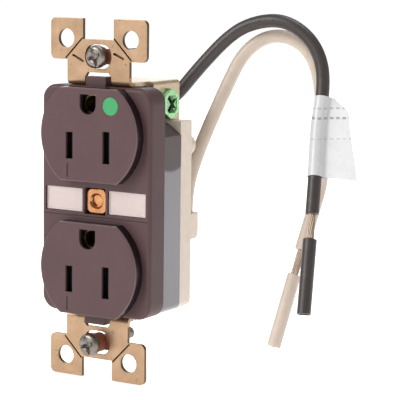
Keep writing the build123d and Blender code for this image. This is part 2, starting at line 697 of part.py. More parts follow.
with BuildPart() as ground_screw:
    with BuildSketch(Plane.YZ.offset(GROUND_HEAD_SEAT)):
        with Locations(GROUND_SCREW_AT):
            RegularPolygon(HEX_FLATS / 2, 6, major_radius=False, rotation=30)
    extrude(amount=GROUND_HEAD_H)
    with BuildSketch(Plane.YZ.offset(GROUND_HEAD_SEAT)):
        with Locations(GROUND_SCREW_AT):
            Circle(CROWN_R)
    extrude(amount=GROUND_HEAD_H, taper=10, mode=Mode.INTERSECT)
    with BuildSketch(Plane.YZ.offset(GROUND_HEAD_SEAT)):
        with Locations(GROUND_SCREW_AT):
            Circle(GROUND_SCREW_R)
    extrude(amount=-GROUND_SHANK)
    with BuildSketch(Plane.YZ.offset(GROUND_HEAD_SEAT + GROUND_HEAD_H)):
        with Locations(GROUND_SCREW_AT):
            Rectangle(GROUND_CROSS, GROUND_CROSS_W, rotation=45)
            Rectangle(GROUND_CROSS_W, GROUND_CROSS, rotation=45)
    extrude(amount=-GROUND_CROSS_DEPTH, mode=Mode.SUBTRACT)
finish(ground_screw, "ground_screw")

# Leads: stranded conductors, partly stripped, the cut slug of insulation left near the end.
LEAD_ROUTES = {
    "black": [
        (-14.4, 24.2, -7.5),
        (-14.4, 24.2, 2.5),
        (-12.0, 27.5, 12.0),
        (-5.0, 30.0, 20.5),
        (4.0, 32.5, 27.0),
        (12.0, 36.0, 38.0),
        (21.0, 39.0, 48.0),
        (28.5, 41.0, 51.5),
        (37.0, 42.0, 52.0),
        (44.5, 43.0, 47.5),
        (49.0, 43.0, 40.5),
        (50.5, 41.5, 32.0),
        (50.8, 37.5, 21.5),
        (53.8, 31.0, 8.4),
        (55.1, 27.0, -2.3),
    ],
    "white": [
        (14.4, 24.2, -7.5),
        (14.4, 24.2, 1.5),
        (14.8, 29.0, 11.0),
        (17.0, 34.0, 22.0),
        (20.5, 38.2, 33.5),
        (23.0, 40.2, 40.2),
        (26.7, 42.2, 44.8),
        (31.0, 44.7, 47.2),
        (35.8, 46.8, 46.9),
        (40.2, 48.3, 44.4),
        (43.3, 49.0, 40.2),
        (45.6, 48.6, 34.0),
        (47.8, 46.6, 25.0),
        (49.2, 44.5, 14.5),
        (51.0, 40.5, 4.5),
        (50.3, 35.8, -4.5),
        (49.3, 32.0, -14.1),
    ],
}
STRIP_GAP = 7.4
SLUG_LENGTH = 22.0
BEND_SHARE = 0.45


def route_radii(points):
    """The largest bend radius that each corner's two runs leave room for."""
    radii = []
    for before, here, after in zip(points, points[1:], points[2:]):
        arriving = Vector(here) - Vector(before)
        leaving = Vector(after) - Vector(here)
        half_turn = math.radians(arriving.get_angle(leaving)) / 2
        radii.append(BEND_SHARE * min(arriving.length, leaving.length) / math.tan(half_turn))
    return radii


for colour, points in LEAD_ROUTES.items():
    radii = route_radii(points)
    print(colour, "lead radii", [round(r, 1) for r in radii])
    with BuildPart() as lead:
        with BuildLine():
            path = FilletPolyline(*points, radius=radii)
        with BuildSketch(Plane(origin=path @ 0, z_dir=path % 0)):
            Circle(LEAD_D / 2)
        sweep(path=path)
    expected = math.pi * LEAD_D**2 / 4 * path.length
    print(colour, "lead length", round(path.length, 1), "volume ratio", round(lead.part.volume / expected, 4))
    finish(lead, f"{colour}_lead")

    end_point = Vector(points[-1])
    end_way = (end_point - Vector(points[-2])).normalized()
    with BuildPart() as strands:
        with BuildSketch(Plane(origin=end_point, z_dir=end_way)):
            Circle(STRAND_D / 2)
        extrude(amount=STRIP_GAP + SLUG_LENGTH - 0.4)
    finish(strands, f"{colour}_strands")

    with BuildPart() as slug:
        with BuildSketch(Plane(origin=end_point + end_way * STRIP_GAP, z_dir=end_way)):
            Circle(LEAD_D / 2)
            Circle(STRAND_D / 2 + 0.05, mode=Mode.SUBTRACT)
        extrude(amount=SLUG_LENGTH)
    finish(slug, f"{colour}_slug")
    print(colour, "slug axis", [round(v, 5) for v in tuple(end_way)])

# Wire tag: a film sleeve round the black lead with its loose end standing out as a flag.
TAG_CORNER = 12
TAG_UPPER_REACH = 9.6
TAG_LOWER_REACH = 13.4
TAG_FILM = 0.3
TAG_INNER_R = LEAD_D / 2 + 0.15
FLAG_WAY = Vector(0.857, 0.515, 0)  # level, away from the lead
FLAG_OUTLINE = ((0, 0.6), (2.1, 22.0), (8.3, 19.5), (12.4, -0.6))

black_points = LEAD_ROUTES["black"]
tag_corner = Vector(black_points[TAG_CORNER])
tag_radius = route_radii(black_points)[TAG_CORNER - 1]
upper_way = (Vector(black_points[TAG_CORNER - 1]) - tag_corner).normalized()
lower_way = (Vector(black_points[TAG_CORNER + 1]) - tag_corner).normalized()
tag_top = tag_corner + upper_way * TAG_UPPER_REACH
tag_foot = tag_corner + lower_way * TAG_LOWER_REACH

with BuildPart() as wire_tag:
    with BuildSketch(Plane(origin=tag_foot, x_dir=FLAG_WAY, z_dir=FLAG_WAY.cross(tag_top - tag_foot))):
        Polygon(*FLAG_OUTLINE, align=None)
    extrude(amount=TAG_FILM / 2, both=True)
    with BuildLine():
        tag_path = FilletPolyline(tag_top, tag_corner, tag_foot, radius=tag_radius)
    with BuildSketch(Plane(origin=tag_path @ 0, z_dir=tag_path % 0)):
        Circle(TAG_INNER_R + TAG_FILM)
    sweep(path=tag_path)
    with BuildSketch(Plane(origin=tag_path @ 0, z_dir=tag_path % 0)):
        Circle(TAG_INNER_R)
    sweep(path=tag_path, mode=Mode.SUBTRACT)
finish(wire_tag, "wire_tag")
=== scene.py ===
import json
import math

import bmesh
import bpy
from mathutils import Matrix, Vector


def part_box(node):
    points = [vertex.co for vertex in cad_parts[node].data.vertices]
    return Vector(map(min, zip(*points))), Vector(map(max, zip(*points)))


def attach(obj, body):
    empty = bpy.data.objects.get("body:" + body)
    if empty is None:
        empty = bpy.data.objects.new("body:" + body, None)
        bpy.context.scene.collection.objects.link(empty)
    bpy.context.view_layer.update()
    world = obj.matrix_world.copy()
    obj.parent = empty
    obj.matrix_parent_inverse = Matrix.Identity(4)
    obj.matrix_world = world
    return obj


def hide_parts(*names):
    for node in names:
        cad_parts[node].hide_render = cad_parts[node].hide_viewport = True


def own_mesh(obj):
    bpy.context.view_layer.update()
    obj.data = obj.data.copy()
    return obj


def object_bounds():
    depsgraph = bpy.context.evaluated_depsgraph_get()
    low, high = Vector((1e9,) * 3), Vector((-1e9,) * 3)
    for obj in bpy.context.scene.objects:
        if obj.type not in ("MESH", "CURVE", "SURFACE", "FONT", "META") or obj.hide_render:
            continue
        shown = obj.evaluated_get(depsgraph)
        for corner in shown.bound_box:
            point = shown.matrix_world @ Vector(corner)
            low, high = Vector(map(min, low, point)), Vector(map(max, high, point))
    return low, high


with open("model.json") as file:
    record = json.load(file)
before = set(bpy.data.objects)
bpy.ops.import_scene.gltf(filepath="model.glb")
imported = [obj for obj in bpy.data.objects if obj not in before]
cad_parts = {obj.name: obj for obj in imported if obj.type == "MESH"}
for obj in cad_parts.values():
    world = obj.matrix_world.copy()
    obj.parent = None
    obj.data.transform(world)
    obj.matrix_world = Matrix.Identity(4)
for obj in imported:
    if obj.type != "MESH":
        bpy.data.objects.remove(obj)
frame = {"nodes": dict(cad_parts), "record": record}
cad_low, cad_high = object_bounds()

# Everything is in metres, in the row frame: X to the right, Y from front to back, Z up.
MM = 0.001


# ---------------------------------------------------------------- camera, light and floor

VIEW_TURN = math.radians(31.0)
VIEW_RISE = math.radians(7.887)
VIEW_ROLL = math.radians(-0.725)
VIEW_TARGET = Vector((33.806, 0.0, 2.962)) * MM
VIEW_DISTANCE = 496.185 * MM
VIEW_LENS = 159.87

SURROUND_AS_LIGHT = 0.34
SURROUND_AS_BACKDROP = 1.0
FLOOR_SIZE = 12.0
FLOOR_DROP = 0.0005
FLOOR_GLOW = 0.72


def add_camera():
    """The camera looks down on the outlet from its right."""
    back = Vector((
        math.sin(VIEW_TURN) * math.cos(VIEW_RISE),
        -math.cos(VIEW_TURN) * math.cos(VIEW_RISE),
        math.sin(VIEW_RISE),
    ))
    level = Vector((math.cos(VIEW_TURN), math.sin(VIEW_TURN), 0.0))
    upright = back.cross(level)
    right = level * math.cos(VIEW_ROLL) - upright * math.sin(VIEW_ROLL)
    up = level * math.sin(VIEW_ROLL) + upright * math.cos(VIEW_ROLL)
    data = bpy.data.cameras.new("camera")
    data.lens = VIEW_LENS
    data.sensor_width = 36.0
    data.clip_start = 0.05
    camera = bpy.data.objects.new("camera", data)
    turn = Matrix((right, up, back)).transposed()
    camera.matrix_world = Matrix.Translation(VIEW_TARGET + back * VIEW_DISTANCE) @ turn.to_4x4()
    bpy.context.scene.collection.objects.link(camera)
    bpy.context.scene.camera = camera


def add_light(name, place, size, power, target=(0.02, 0.0, 0.0)):
    """A soft square light that faces the outlet."""
    data = bpy.data.lights.new(name, "AREA")
    data.shape = "SQUARE"
    data.size = size
    data.energy = power
    light = bpy.data.objects.new(name, data)
    light.location = place
    light.rotation_euler = (Vector(place) - Vector(target)).to_track_quat("Z", "Y").to_euler()
    bpy.context.scene.collection.objects.link(light)


def add_studio():
    """White surroundings, dimmer as light than as backdrop, four soft lights and a glowing pale floor."""
    world = bpy.data.worlds.new("studio")
    world.use_nodes = True
    surround = world.node_tree.nodes["Background"]
    surround.inputs["Color"].default_value = (1.0, 1.0, 1.0, 1.0)
    rays = world.node_tree.nodes.new("ShaderNodeLightPath")
    share = world.node_tree.nodes.new("ShaderNodeMapRange")
    share.inputs["To Min"].default_value = SURROUND_AS_LIGHT
    share.inputs["To Max"].default_value = SURROUND_AS_BACKDROP
    world.node_tree.links.new(rays.outputs["Is Camera Ray"], share.inputs["Value"])
    world.node_tree.links.new(share.outputs["Result"], surround.inputs["Strength"])
    bpy.context.scene.world = world
    bpy.context.scene.view_settings.view_transform = "Standard"
    add_light("key", (-0.55, -0.85, 0.70), 0.7, 11.0)
    add_light("side", (0.85, 0.55, 0.25), 0.5, 0.5)
    add_light("top", (0.1, 0.3, 1.0), 0.6, 4.0)
    add_light("behind", (-0.50, 0.86, 0.16), 0.5, 1.6)
    bpy.ops.mesh.primitive_plane_add(size=FLOOR_SIZE, location=(0.0, 0.0, cad_low.z - FLOOR_DROP))
    floor = bpy.context.object
    floor.name = "floor"
    plain = bpy.data.materials.new("floor_pale")
    plain.use_nodes = True
    surface = plain.node_tree.nodes["Principled BSDF"]
    surface.inputs["Base Color"].default_value = (0.93, 0.93, 0.93, 1.0)
    surface.inputs["Roughness"].default_value = 0.9
    surface.inputs["Emission Color"].default_value = (1.0, 1.0, 1.0, 1.0)
    surface.inputs["Emission Strength"].default_value = FLOOR_GLOW
    floor.data.materials.append(plain)


# ---------------------------------------------------------------- sizes and routes

# Lengths are in millimetres. Those worked out with MM are in metres, and so are
# the points TAG_FROM and those of the two routes.

FACE_CENTRE_Z = 19.45
FACE_WALL_Y = -4.15
FACE_WALL_HALF = 1.5
FACE_RIM_HIGHLIGHT_Y = -6.1
FACE_RIM_HIGHLIGHT_HALF = 0.22
FACE_ROUND_SQUARED = 252.0
FACE_FLAT_SQUARED = 171.0

BAND_HIGHLIGHT_FROM_Y = 1.8

GROUND_SCREW_Y = 16.0
GROUND_SCREW_Z = 27.7
GROUND_CROSS_SQUARED = 7.6
GROUND_CROSS_FROM_X = 12.9
GROUND_CROSS_TO_X = 14.26
GROUND_CUT_X = 12.7
GROUND_THREAD_X = 12.78
GROUND_ROOT_R = 1.95
GROUND_CREST_R = 2.38
GROUND_TURNS = 7

BOX_SCREW_CUT_Y = 0.6
BOX_SCREW_THREAD_Y = 0.3
BOX_SCREW_ROOT_R = 1.36
BOX_SCREW_CREST_R = 1.74
BOX_SCREW_TIP = 1.5

POST_THREAD_Y = -1.1
POST_ROOT_R = 1.80
POST_CREST_R = 1.46
POST_TURNS = 12

THREAD_STEPS = 28
THREAD_PITCH = 0.794

LEAD_R = 2.0 * MM
STRIP_GAP = 7.4 * MM
STRAND_R = 0.23
STRAND_RINGS = ((1, 0.0), (6, 0.46), (12, 0.91))
STRAND_LAY = math.radians(209.0)
STRAND_STEPS = 30
STRAND_START = -0.5
STRAND_INSET = 0.6

SLUG_LENGTH = 22.0
SLUG_BORE_R = 1.2
SLUG_R = 2.0
SLUG_EASE = 0.12
SLUG_CUT_BACK = 0.09
SLUG_CUT_SWAY = 0.08

SPRING_R = 0.65
SPRING_WIRE_R = 0.11
SPRING_TURNS = 8

TAG_FROM = Vector((0.0508, 0.0375, 0.0215))
TAG_UPPER_REACH = 9.6 * MM
TAG_LOWER_REACH = 15.2 * MM
TAG_R = 2.22
TAG_THICKNESS = 0.13
TAG_WRAP_STEPS = 32
FLAG_WAY = Vector((0.857, 0.515, 0.0))
FLAG_STEPS = 9
FLAG_ROOT = 2.47
FLAG_FOOT_REACH = 12.3
FLAG_TAPER = 4.515
FLAG_SHOULDER = 0.88
FLAG_TOP_REACH = 3.6
FLAG_GAP = 0.10
FLAG_SPREAD = 0.5
FLAG_CURL = 0.9

BLACK_ROUTE = [
    (-0.0144, 0.0242, -0.0075),
    (-0.0144, 0.0242, 0.0025),
    (-0.0120, 0.0275, 0.0120),
    (-0.0050, 0.0300, 0.0205),
    (0.0040, 0.0325, 0.0270),
    (0.0120, 0.0360, 0.0380),
    (0.0210, 0.0390, 0.0480),
    (0.0285, 0.0410, 0.0515),
    (0.0370, 0.0420, 0.0520),
    (0.0445, 0.0430, 0.0475),
    (0.0490, 0.0430, 0.0405),
    (0.0505, 0.0415, 0.0320),
    (0.0508, 0.0375, 0.0215),
    (0.0538, 0.0310, 0.0084),
    (0.0551, 0.0270, -0.0023),
]
WHITE_ROUTE = [
    (0.0144, 0.0242, -0.0075),
    (0.0144, 0.0242, 0.0015),
    (0.0148, 0.0290, 0.0110),
    (0.0170, 0.0340, 0.0220),
    (0.0205, 0.0382, 0.0335),
    (0.0230, 0.0402, 0.0402),
    (0.0267, 0.0422, 0.0448),
    (0.0310, 0.0447, 0.0472),
    (0.0358, 0.0468, 0.0469),
    (0.0402, 0.0483, 0.0444),
    (0.0433, 0.0490, 0.0402),
    (0.0456, 0.0486, 0.0340),
    (0.0478, 0.0466, 0.0250),
    (0.0492, 0.0445, 0.0145),
    (0.0510, 0.0405, 0.0045),
    (0.0503, 0.0358, -0.0045),
    (0.0493, 0.0320, -0.0141),
]


# ---------------------------------------------------------------- materials

class Wire:
    """One socket of a material, on which sums are written as plain expressions."""

    def __init__(self, tree, socket):
        self.tree = tree
        self.socket = socket

    def feed(self, target, value):
        """Put a wire or a plain value into a socket."""
        if isinstance(value, Wire):
            self.tree.links.new(value.socket, target)
        elif target.type == "RGBA" and len(value) == 3:
            target.default_value = (*value, 1.0)
        else:
            target.default_value = value

    def node(self, kind, settings, sockets, output=0):
        """Any other node: its settings first, then its sockets' values or links."""
        made = self.tree.nodes.new("ShaderNode" + kind)
        for name, value in settings.items():
            setattr(made, name, value)
        for name, value in sockets.items():
            self.feed(made.inputs[name], value)
        return Wire(self.tree, made.outputs[output])

    def _math(self, operation, first, second):
        return self.node("Math", {"operation": operation}, {0: first, 1: second})

    def __add__(self, other):
        return self._math("ADD", self, other)

    def __radd__(self, other):
        return self._math("ADD", other, self)

    def __sub__(self, other):
        return self._math("SUBTRACT", self, other)

    def __rsub__(self, other):
        return self._math("SUBTRACT", other, self)

    def __mul__(self, other):
        return self._math("MULTIPLY", self, other)

    def __rmul__(self, other):
        return self._math("MULTIPLY", other, self)

    def __lt__(self, other):
        return self._math("LESS_THAN", self, other)

    def __gt__(self, other):
        return self._math("GREATER_THAN", self, other)


def noise(place, size, detail=2.0, stretch=(1.0, 1.0, 1.0)):
    """Grey clouds of a size in millimetres, drawn out along an axis whose stretch is below one."""
    spread = place.node("Mapping", {}, {"Vector": place, "Scale": stretch})
    return place.node("TexNoise", {}, {"Vector": spread, "Scale": 1.0 / (size * MM), "Detail": detail})


def axes_of(place):
    """The three coordinates in millimetres."""
    split = place.tree.nodes.new("ShaderNodeSeparateXYZ")
    place.feed(split.inputs[0], place)
    return [Wire(place.tree, socket) * (1.0 / MM) for socket in split.outputs]


def blend_colours(factor, first, second):
    """One colour running into another."""
    return factor.node("Mix", {"data_type": "RGBA"}, {0: factor, 6: first, 7: second}, 2)


def relief(height, depth, strength=1.0, edge=0.0):
    """A normal raised by a grey height, its depth and the easing of its edges in millimetres."""
    sockets = {"Height": height, "Distance": depth * MM, "Strength": strength}
    if edge:
        sockets["Normal"] = height.node("Bevel", {"samples": 6}, {"Radius": edge * MM})
    return height.node("Bump", {}, sockets)


def band(value, middle, half):
    """One where the value is within half of the middle, else nothing."""
    away = value.node("Math", {"operation": "ABSOLUTE"}, {0: value - middle})
    return away < half


def make_finish(name, paint):
    """A named material whose shader sockets come from its paint function."""
    material = bpy.data.materials.new(name)
    material.use_nodes = True
    tree = material.node_tree
    shader = tree.nodes["Principled BSDF"]
    places = tree.nodes.new("ShaderNodeTexCoord")
    place = Wire(tree, places.outputs["Object"])
    for socket, value in paint(place).items():
        place.feed(shader.inputs[socket], value)
    return material


def cover_paint(place):
    """Dark brown nylon: a fine matte moulded grain in front, polished walls round the two raised faces
    painted near-black as shade, and a painted highlight along the faces' front rims.
    """
    x, y, z = axes_of(place)
    grain = noise(place, 0.16, 3.0)
    cloud = noise(place, 9.0)
    # The walls round the raised faces are painted near-black as shade, and are smoother for their polish.
    polished_wall_painted_shade = band(y, FACE_WALL_Y, FACE_WALL_HALF)
    aside = z.node("Math", {"operation": "ABSOLUTE"}, {0: z}) - FACE_CENTRE_Z
    outline = (x * x + aside * aside > FACE_ROUND_SQUARED) + (aside * aside > FACE_FLAT_SQUARED)
    # A lighter band on the faces' front rims, outside the slots, is a painted highlight.
    rim = band(y, FACE_RIM_HIGHLIGHT_Y, FACE_RIM_HIGHLIGHT_HALF) * outline
    matte = blend_colours(cloud, (0.088, 0.048, 0.050), (0.110, 0.062, 0.064))
    grained = blend_colours(grain * 0.35, matte, (0.065, 0.034, 0.036))
    colour = blend_colours(rim * 0.45, grained, (0.22, 0.16, 0.165))
    return {
        "Base Color": blend_colours(polished_wall_painted_shade, colour, (0.014, 0.007, 0.009)),
        "Roughness": 0.36 + 0.16 * grain - 0.18 * polished_wall_painted_shade - 0.1 * rim,
        "Specular IOR Level": 0.24,
        "Normal": relief(grain * (1.0 - 0.8 * polished_wall_painted_shade), 0.014, 0.5, 0.25),
    }


def body_paint(place):
    """The same nylon moulded against polished steel, finely ridged and duller near the top, and tinted
    bluish lower down as a painted reflection.
    """
    y, z = axes_of(place)[1:]
    flow = noise(place, 2.4, 3.0, (1.0, 1.0, 0.35))
    speck = noise(place, 0.2)
    sweep = (y - 10.0) * (y - 10.0) * 0.04
    ridged = z.node("MapRange", {"interpolation_type": "SMOOTHSTEP"}, {0: z - sweep, 1: 8.2, 2: 9.4})
    ridges = z.node("Math", {"operation": "SINE"}, {0: z * 9.0}) * ridged
    # The glossy lower part's bluish tint is a painted reflection; the ridged part is brown.
    gloss_reflection_tint = blend_colours(flow, (0.055, 0.044, 0.060), (0.075, 0.060, 0.082))
    return {
        "Base Color": blend_colours(ridged, gloss_reflection_tint, (0.058, 0.036, 0.037)),
        "Roughness": 0.12 + 0.10 * flow + 0.25 * ridged,
        "IOR": 1.6,
        "Coat Weight": 1.0 - ridged,
        "Coat Roughness": 0.08,
        "Normal": relief(speck + 2.0 * flow + 1.5 * ridges, 0.008, 0.5, 0.2),
    }


def ivory_paint(place):
    """Ivory nylon, a little mottled."""
    mottle = noise(place, 3.0, 4.0)
    grain = noise(place, 0.2)
    return {
        "Base Color": blend_colours(mottle, (0.66, 0.56, 0.47), (0.78, 0.67, 0.57)),
        "Roughness": 0.38 + 0.14 * grain,
        "Normal": relief(grain + mottle, 0.01, 0.5, 0.25),
    }


def strap_paint(place):
    """Tan plated strip, rolled and stained, with painted shade at its cut edges and stamped grooves, and
    paler on its band as a painted highlight.
    """
    y, z = axes_of(place)[1:]
    rolled = noise(place, 0.25, 4.0, (1.0, 1.0, 0.04))
    stain = noise(place, 5.0, 3.0)
    spots = noise(place, 0.8, 4.0)
    # The plate's cut edges and the floors of its stamped grooves are darkened as painted shade.
    edge_groove_painted_shade = band(y, -0.6, 0.5) * (1.0 - band(z, 0.0, 36.0))
    tan = blend_colours(stain, (0.33, 0.205, 0.115), (0.64, 0.435, 0.28))
    # The band behind the front plate is made paler as a painted highlight.
    colour = blend_colours((y > BAND_HIGHLIGHT_FROM_Y) * 0.8, tan, (0.80, 0.69, 0.52))
    worn = blend_colours(rolled * 0.3 + band(spots, 0.72, 0.06) * 0.5, colour, (0.24, 0.14, 0.08))
    return {
        "Base Color": blend_colours(edge_groove_painted_shade * 0.85, worn, (0.075, 0.042, 0.024)),
        "Metallic": 0.9,
        "Roughness": 0.26 + 0.16 * rolled + 0.10 * stain,
        "Normal": relief(rolled + spots, 0.012, 0.6, 0.18),
    }


def post_paint(place):
    """Orange copper-coloured brass, turned, so it is ringed round the hole."""
    x, z = axes_of(place)[::2]
    squares = x * x + z * z
    rings = squares.node("Math", {"operation": "SINE"}, {0: squares * 5.0})
    tarnish = noise(place, 1.2, 3.0)
    return {
        "Base Color": blend_colours(tarnish, (0.30, 0.11, 0.045), (0.72, 0.37, 0.17)),
        "Metallic": 1.0,
        "Roughness": 0.20 + 0.18 * tarnish,
        "Normal": relief(rings + tarnish, 0.006, 0.4, 0.12),
    }


def contact_paint(place):
    """Stamped yellow brass, darkened in patches as painted shade; its lighter patches are rougher."""
    # Low values give the dark brass, which is painted shade; high values are lighter and rougher.
    dull_and_shade_patches = noise(place, 1.6, 3.0)
    drawn = noise(place, 0.15, 2.0, (0.06, 1.0, 1.0))
    return {
        "Base Color": blend_colours(dull_and_shade_patches, (0.20, 0.13, 0.04), (0.52, 0.38, 0.15)),
        "Metallic": 1.0,
        "Roughness": 0.24 + 0.2 * dull_and_shade_patches,
        "Normal": relief(drawn, 0.006, 0.4),
    }


def zinc_paint(place):
    """Zinc plated steel, a clouded grey with fine scratches."""
    scratch = noise(place, 0.18, 4.0, (0.15, 1.0, 1.0))
    cloud = noise(place, 1.4, 3.0)
    return {
        "Base Color": blend_colours(cloud, (0.13, 0.11, 0.095), (0.37, 0.33, 0.295)),
        "Metallic": 1.0,
        "Roughness": 0.30 + 0.2 * scratch,
        "Normal": relief(scratch + cloud, 0.006, 0.6, 0.1),
    }


def green_paint(place):
    """Green dyed plating, bright on its facets, its cross-shaped hollow painted near-black green as shade.
    """
    x, y, z = axes_of(place)
    wear = noise(place, 0.9, 4.0)
    across = y - GROUND_SCREW_Y
    up = z - GROUND_SCREW_Z
    middle = across * across + up * up < GROUND_CROSS_SQUARED
    # The cross in the head is painted near-black green as shade, and has no coat.
    cross_painted_shade = middle * (x < GROUND_CROSS_TO_X) * (x > GROUND_CROSS_FROM_X)
    colour = blend_colours(wear, (0.07, 0.38, 0.08), (0.55, 0.90, 0.52))
    return {
        "Base Color": blend_colours(cross_painted_shade, colour, (0.004, 0.045, 0.010)),
        "Metallic": 0.85,
        "Roughness": 0.14 + 0.2 * wear,
        "Coat Weight": 0.6 - 0.6 * cross_painted_shade,
        "Coat Roughness": 0.06,
        "Normal": relief(wear, 0.05, 0.8, 0.15),
    }


def fibre_paint(place):
    """Red-brown vulcanised fibre with matted hairs."""
    hairs = noise(place, 0.3, 5.0, (0.2, 1.0, 1.0))
    return {
        "Base Color": blend_colours(hairs, (0.14, 0.035, 0.018), (0.34, 0.11, 0.055)),
        "Roughness": 0.65 + 0.2 * hairs,
        "Normal": relief(hairs, 0.03, 0.8, 0.1),
    }


def label_paint(place):
    """Satin inlay, drawn lengthwise, with a faint tarnish."""
    satin = noise(place, 0.12, 3.0, (0.05, 1.0, 1.0))
    tarnish = noise(place, 3.0, 2.0)
    plain = blend_colours(satin, (0.52, 0.43, 0.41), (0.64, 0.54, 0.52))
    return {
        "Base Color": blend_colours(tarnish * 0.4, plain, (0.46, 0.37, 0.34)),
        "Metallic": 0.35,
        "Roughness": 0.30 + 0.16 * satin,
        "Normal": relief(satin, 0.008, 0.6, 0.1),
    }


def dot_paint(place):
    """Moulded green inlay with a pebbled face."""
    pebble = noise(place, 0.35, 2.0)
    return {
        "Base Color": blend_colours(pebble, (0.022, 0.24, 0.075), (0.045, 0.36, 0.13)),
        "Roughness": 0.28 + 0.2 * pebble,
        "Normal": relief(pebble, 0.02, 0.6),
    }


def shutter_paint(place):
    """Near-black acetal."""
    grain = noise(place, 0.25, 3.0)
    return {
        "Base Color": blend_colours(grain, (0.014, 0.012, 0.014), (0.032, 0.028, 0.030)),
        "Roughness": 0.42 + 0.16 * grain,
        "Normal": relief(grain, 0.01, 0.5),
    }


def spring_paint(place):
    """Bright drawn wire."""
    drawn = noise(place, 0.1, 2.0, (0.1, 1.0, 1.0))
    return {
        "Base Color": blend_colours(drawn, (0.45, 0.44, 0.43), (0.66, 0.65, 0.64)),
        "Metallic": 1.0,
        "Roughness": 0.2 + 0.15 * drawn,
    }


def insulation_paint(dark, light, shine):
    """Extruded insulation: faint clouding, a skin of fine pits and a soft shine."""
    def paint(place):
        cloud = noise(place, 2.2, 3.0)
        pits = noise(place, 0.45, 3.0)
        return {
            "Base Color": blend_colours(cloud * 0.6 + pits * 0.4, dark, light),
            "Roughness": shine + 0.2 * pits,
            "Normal": relief(pits + cloud, 0.09, 0.7),
        }
    return paint


def strand_paint(place):
    """Dull tinned copper wire."""
    tin = noise(place, 0.5, 3.0)
    return {
        "Base Color": blend_colours(tin, (0.34, 0.245, 0.17), (0.62, 0.52, 0.43)),
        "Metallic": 1.0,
        "Roughness": 0.26 + 0.16 * tin,
        "Normal": relief(tin, 0.01, 0.5),
    }


def film_paint(place):
    """White film, painted greyer as shade on the sleeve round the black lead, with rows of plain, even
    grey dashes.
    """
    x, y, z = axes_of(place)
    haze = noise(place, 4.0, 2.0)
    around = x * FLAG_WAY.x + y * FLAG_WAY.y
    ticks = around.node("Math", {"operation": "SINE"}, {0: around * 3.4})
    rows = band(z, 27.0, 0.30) * 0.5 + band(z, 24.2, 0.34) * 0.8 + band(z, 18.4, 0.22) * 0.35
    dashes = rows * (ticks > -0.35)
    # The sleeve round the lead is painted greyer than the flag: painted shade.
    sleeve_painted_shade = place.node("Attribute", {"attribute_name": "sleeve_painted_shade"}, {}, 2)
    flag = blend_colours(haze, (0.80, 0.80, 0.80), (0.92, 0.92, 0.92))
    plain = blend_colours(sleeve_painted_shade, flag, (0.60, 0.60, 0.61))
    return {
        "Base Color": blend_colours(dashes * 0.7, plain, (0.12, 0.12, 0.13)),
        "Roughness": 0.22 + 0.12 * haze,
        "Normal": relief(haze, 0.06, 0.5),
    }


FINISHES = {
    "cover_plastic": make_finish("cover_plastic_brown", cover_paint),
    "body_plastic": make_finish("body_plastic_gloss", body_paint),
    "ivory_plastic": make_finish("ivory_plastic_mottled", ivory_paint),
    "strap_plate": make_finish("strap_plate_tan", strap_paint),
    "post_brass": make_finish("post_brass_turned", post_paint),
    "contact_brass": make_finish("contact_brass_stamped", contact_paint),
    "zinc_steel": make_finish("zinc_steel_scratched", zinc_paint),
    "green_screw": make_finish("green_screw_plating", green_paint),
    "fibre": make_finish("fibre_red_brown", fibre_paint),
    "label_plate": make_finish("label_plate_satin", label_paint),
    "green_dot": make_finish("green_dot_inlay", dot_paint),
    "shutter_plastic": make_finish("shutter_plastic_black", shutter_paint),
    "spring_steel": make_finish("spring_steel_bright", spring_paint),
    "black_insulation": make_finish(
        "black_insulation_skin", insulation_paint((0.034, 0.026, 0.024), (0.058, 0.047, 0.044), 0.3)
    ),
    "white_insulation": make_finish(
        "white_insulation_skin", insulation_paint((0.54, 0.44, 0.36), (0.68, 0.57, 0.48), 0.3)
    ),
    "tinned_copper": make_finish("tinned_copper_dull", strand_paint),
    "tag_film": make_finish("tag_film_white", film_paint),
}

SLOT_OF = {part["node"]: part["material_slot"] for part in frame["record"]["subparts"]}


# ---------------------------------------------------------------- pieces

def add_piece(name, mesh_or_curve, node, body):
    """A piece that stands for one CAD node, in its finish, and rides on a body."""
    piece = bpy.data.objects.new(name, mesh_or_curve)
    bpy.context.scene.collection.objects.link(piece)
    slot = SLOT_OF[node]
    mesh_or_curve.materials.append(FINISHES[slot])
    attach(piece, body)
    return piece


def settle(shape, name, sharp=35.0):
    """A finished mesh from a bmesh: doubles merged, faces outwards, smooth but for its sharp edges."""
    bmesh.ops.remove_doubles(shape, verts=shape.verts, dist=0.002 * MM)
    bmesh.ops.recalc_face_normals(shape, faces=shape.faces)
    mesh = bpy.data.meshes.new(name)
    shape.to_mesh(mesh)
    shape.free()
    mesh.shade_smooth()
    mesh.set_sharp_from_angle(angle=math.radians(sharp))
    return mesh


def along(origin, way):
    """The place of a shape built up the Z axis, once it stands at the origin and points along the way."""
    return Matrix.Translation(origin) @ Vector(way).to_track_quat("Z", "Y").to_matrix().to_4x4()


def close_holes(shape):
    """Fill every open end."""
    open_edges = [edge for edge in shape.edges if len(edge.link_faces) == 1]
    bmesh.ops.holes_fill(shape, edges=open_edges, sides=0)


def add_profile(shape, corners):
    """A chain of edges through corners given as radius and height in millimetres."""
    verts = [shape.verts.new((radius * MM, 0.0, height * MM)) for radius, height in corners]
    edges = [shape.edges.new(pair) for pair in zip(verts, verts[1:])]
    return verts, edges


